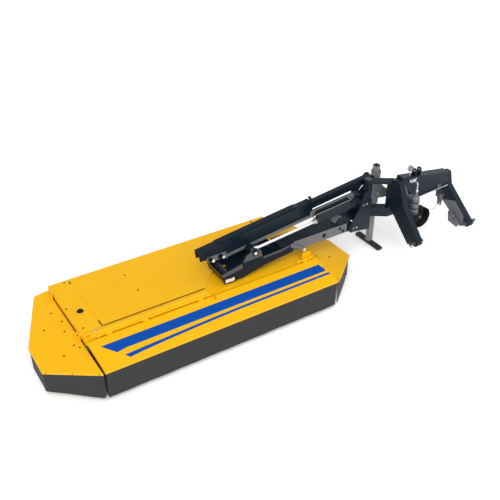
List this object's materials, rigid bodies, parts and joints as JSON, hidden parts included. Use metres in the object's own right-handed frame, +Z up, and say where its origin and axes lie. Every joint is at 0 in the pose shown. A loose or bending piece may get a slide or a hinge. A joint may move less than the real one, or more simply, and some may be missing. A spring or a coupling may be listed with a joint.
{
  "type": "disc mower",
  "caption": "Rear-mounted disc mower: a row of knife discs under a folding yellow cover, hung from a lifting side arm on a three-point headstock with a parking stand.",
  "frame": {"origin": "floor level, under the middle of the machine's outer box", "axes": "+X along the cut towards the headstock, +Y to the rear, +Z up"},
  "size_m": [5.018, 1.575, 1.2326],
  "materials": {
    "dark_paint": "satin dark blue-black paint",
    "yellow_paint": "gloss yellow paint",
    "grey_paint": "grey paint",
    "steel": "zinc plated steel",
    "chrome": "polished rod",
    "rubber": "rubber",
    "curtain": "rubberised cloth",
    "cast": "cast housing",
    "blade_steel": "worn steel"
  },
  "bodies": {
    "headstock": {"hitch_legs": "dark_paint", "cross_beam": "dark_paint", "swing_post": "dark_paint", "top_link_ears": "dark_paint", "lower_link_pins": "steel", "kingpin": "steel", "drive_housing": "cast", "pto_guard": "rubber", "accumulator": "grey_paint", "pressure_gauge": "steel", "valve_block": "steel", "hose_hook": "steel", "stand_sleeve": "grey_paint"},
    "input_drive": {"input_shaft": "steel"},
    "stand": {"stand_leg": "dark_paint"},
    "swing": {"swing_frame": "dark_paint", "swing_pins": "steel"},
    "arm": {"lower_arm": "dark_paint", "unit_pin": "steel", "tilt_link": "grey_paint"},
    "cylinder": {"lift_barrel": "dark_paint"},
    "rod": {"lift_rod": "chrome"},
    "upper_inner": {"upper_beam": "dark_paint"},
    "upper_outer": {"upper_channel": "dark_paint", "relief_spring": "steel", "spring_anchors": "grey_paint"},
    "unit": {"top_deck": "yellow_paint", "right_guard": "yellow_paint", "right_curtain": "curtain", "carrier_beam": "dark_paint", "cutterbar": "grey_paint", "unit_gearbox": "cast", "link_bracket": "yellow_paint", "deck_bumper": "rubber", "fold_pins": "steel", "flap_tubes": "yellow_paint"},
    "end_guard": {"left_guard": "yellow_paint", "left_curtain": "curtain"},
    "flap": {"front_guard": "yellow_paint", "front_curtain": "curtain"},
    "cutter_1": {"disc_1": "blade_steel"},
    "cutter_2": {"disc_2": "blade_steel"},
    "cutter_3": {"disc_3": "blade_steel"},
    "cutter_4": {"disc_4": "blade_steel"},
    "cutter_5": {"disc_5": "blade_steel"},
    "cutter_6": {"disc_6": "blade_steel"},
    "cutter_7": {"disc_7": "blade_steel"}
  },
  "joints": [
    {"name": "breakaway_swing", "type": "hinge", "parent": "headstock", "child": "swing", "pos_m": [1.414, -0.0925, 0.7], "axis": [0, 0, -1], "range_deg": [0, 20]},
    {"name": "stand_slide", "type": "slide", "parent": "headstock", "child": "stand", "axis": [0, 0, 1], "range_m": [0, 0.35]},
    {"name": "input_spin", "type": "hinge", "parent": "headstock", "child": "input_drive", "pos_m": [1.939, -0.3125, 0.58], "axis": [0, -1, 0], "continuous": true},
    {"name": "arm_lift", "type": "hinge", "parent": "swing", "child": "arm", "pos_m": [1.114, -0.1125, 0.595], "axis": [0, 1, 0], "range_deg": [-6, 75]},
    {"name": "cylinder_swing", "type": "hinge", "parent": "swing", "child": "cylinder", "pos_m": [1.234, -0.1625, 0.858], "axis": [0, 1, 0], "range_deg": [-8, 84]},
    {"name": "rod_slide", "type": "slide", "parent": "cylinder", "child": "rod", "axis": [0.9943, 0, 0.1064], "range_m": [-0.06, 0.4]},
    {"name": "upper_swing", "type": "hinge", "parent": "swing", "child": "upper_inner", "pos_m": [1.504, 0.0075, 1.01], "axis": [0, 1, 0], "range_deg": [-8, 84]},
    {"name": "upper_slide", "type": "slide", "parent": "upper_inner", "child": "upper_outer", "axis": [0.9919, 0, 0.1269], "range_m": [-0.08, 0.72]},
    {"name": "unit_tilt", "type": "hinge", "parent": "arm", "child": "unit", "pos_m": [-0.456, -0.0625, 0.53], "axis": [0, 1, 0], "range_deg": [-6, 15]},
    {"name": "end_guard_fold", "type": "hinge", "parent": "unit", "child": "end_guard", "pos_m": [-2.076, 0.1875, 0.415], "axis": [0, 1, 0], "range_deg": [0, 175]},
    {"name": "flap_lift", "type": "hinge", "parent": "unit", "child": "flap", "pos_m": [-0.736, -0.2975, 0.452], "axis": [1, 0, 0], "range_deg": [-85, 0]},
    {"name": "cutter_1_spin", "type": "hinge", "parent": "unit", "child": "cutter_1", "pos_m": [-1.906, -0.0925, 0.095], "axis": [0, 0, 1], "continuous": true},
    {"name": "cutter_2_spin", "type": "hinge", "parent": "unit", "child": "cutter_2", "pos_m": [-1.516, -0.0925, 0.095], "axis": [0, 0, 1], "continuous": true},
    {"name": "cutter_3_spin", "type": "hinge", "parent": "unit", "child": "cutter_3", "pos_m": [-1.126, -0.0925, 0.095], "axis": [0, 0, 1], "continuous": true},
    {"name": "cutter_4_spin", "type": "hinge", "parent": "unit", "child": "cutter_4", "pos_m": [-0.736, -0.0925, 0.095], "axis": [0, 0, 1], "continuous": true},
    {"name": "cutter_5_spin", "type": "hinge", "parent": "unit", "child": "cutter_5", "pos_m": [-0.346, -0.0925, 0.095], "axis": [0, 0, 1], "continuous": true},
    {"name": "cutter_6_spin", "type": "hinge", "parent": "unit", "child": "cutter_6", "pos_m": [0.044, -0.0925, 0.095], "axis": [0, 0, 1], "continuous": true},
    {"name": "cutter_7_spin", "type": "hinge", "parent": "unit", "child": "cutter_7", "pos_m": [0.434, -0.0925, 0.095], "axis": [0, 0, 1], "continuous": true}
  ],
  "couplings": [
    {"joint": "cylinder_swing", "follows": "arm_lift", "ratio": 1.0306},
    {"joint": "rod_slide", "follows": "arm_lift", "m_per_rad": 0.26631},
    {"joint": "upper_swing", "follows": "arm_lift", "ratio": 0.91815},
    {"joint": "upper_slide", "follows": "arm_lift", "m_per_rad": 0.5097},
    {"joint": "input_spin", "follows": "cutter_7_spin", "ratio": 0.3333},
    {"joint": "cutter_1_spin", "follows": "cutter_7_spin", "ratio": 1},
    {"joint": "cutter_2_spin", "follows": "cutter_7_spin", "ratio": -1},
    {"joint": "cutter_3_spin", "follows": "cutter_7_spin", "ratio": 1},
    {"joint": "cutter_4_spin", "follows": "cutter_7_spin", "ratio": -1},
    {"joint": "cutter_5_spin", "follows": "cutter_7_spin", "ratio": 1},
    {"joint": "cutter_6_spin", "follows": "cutter_7_spin", "ratio": -1}
  ]
}
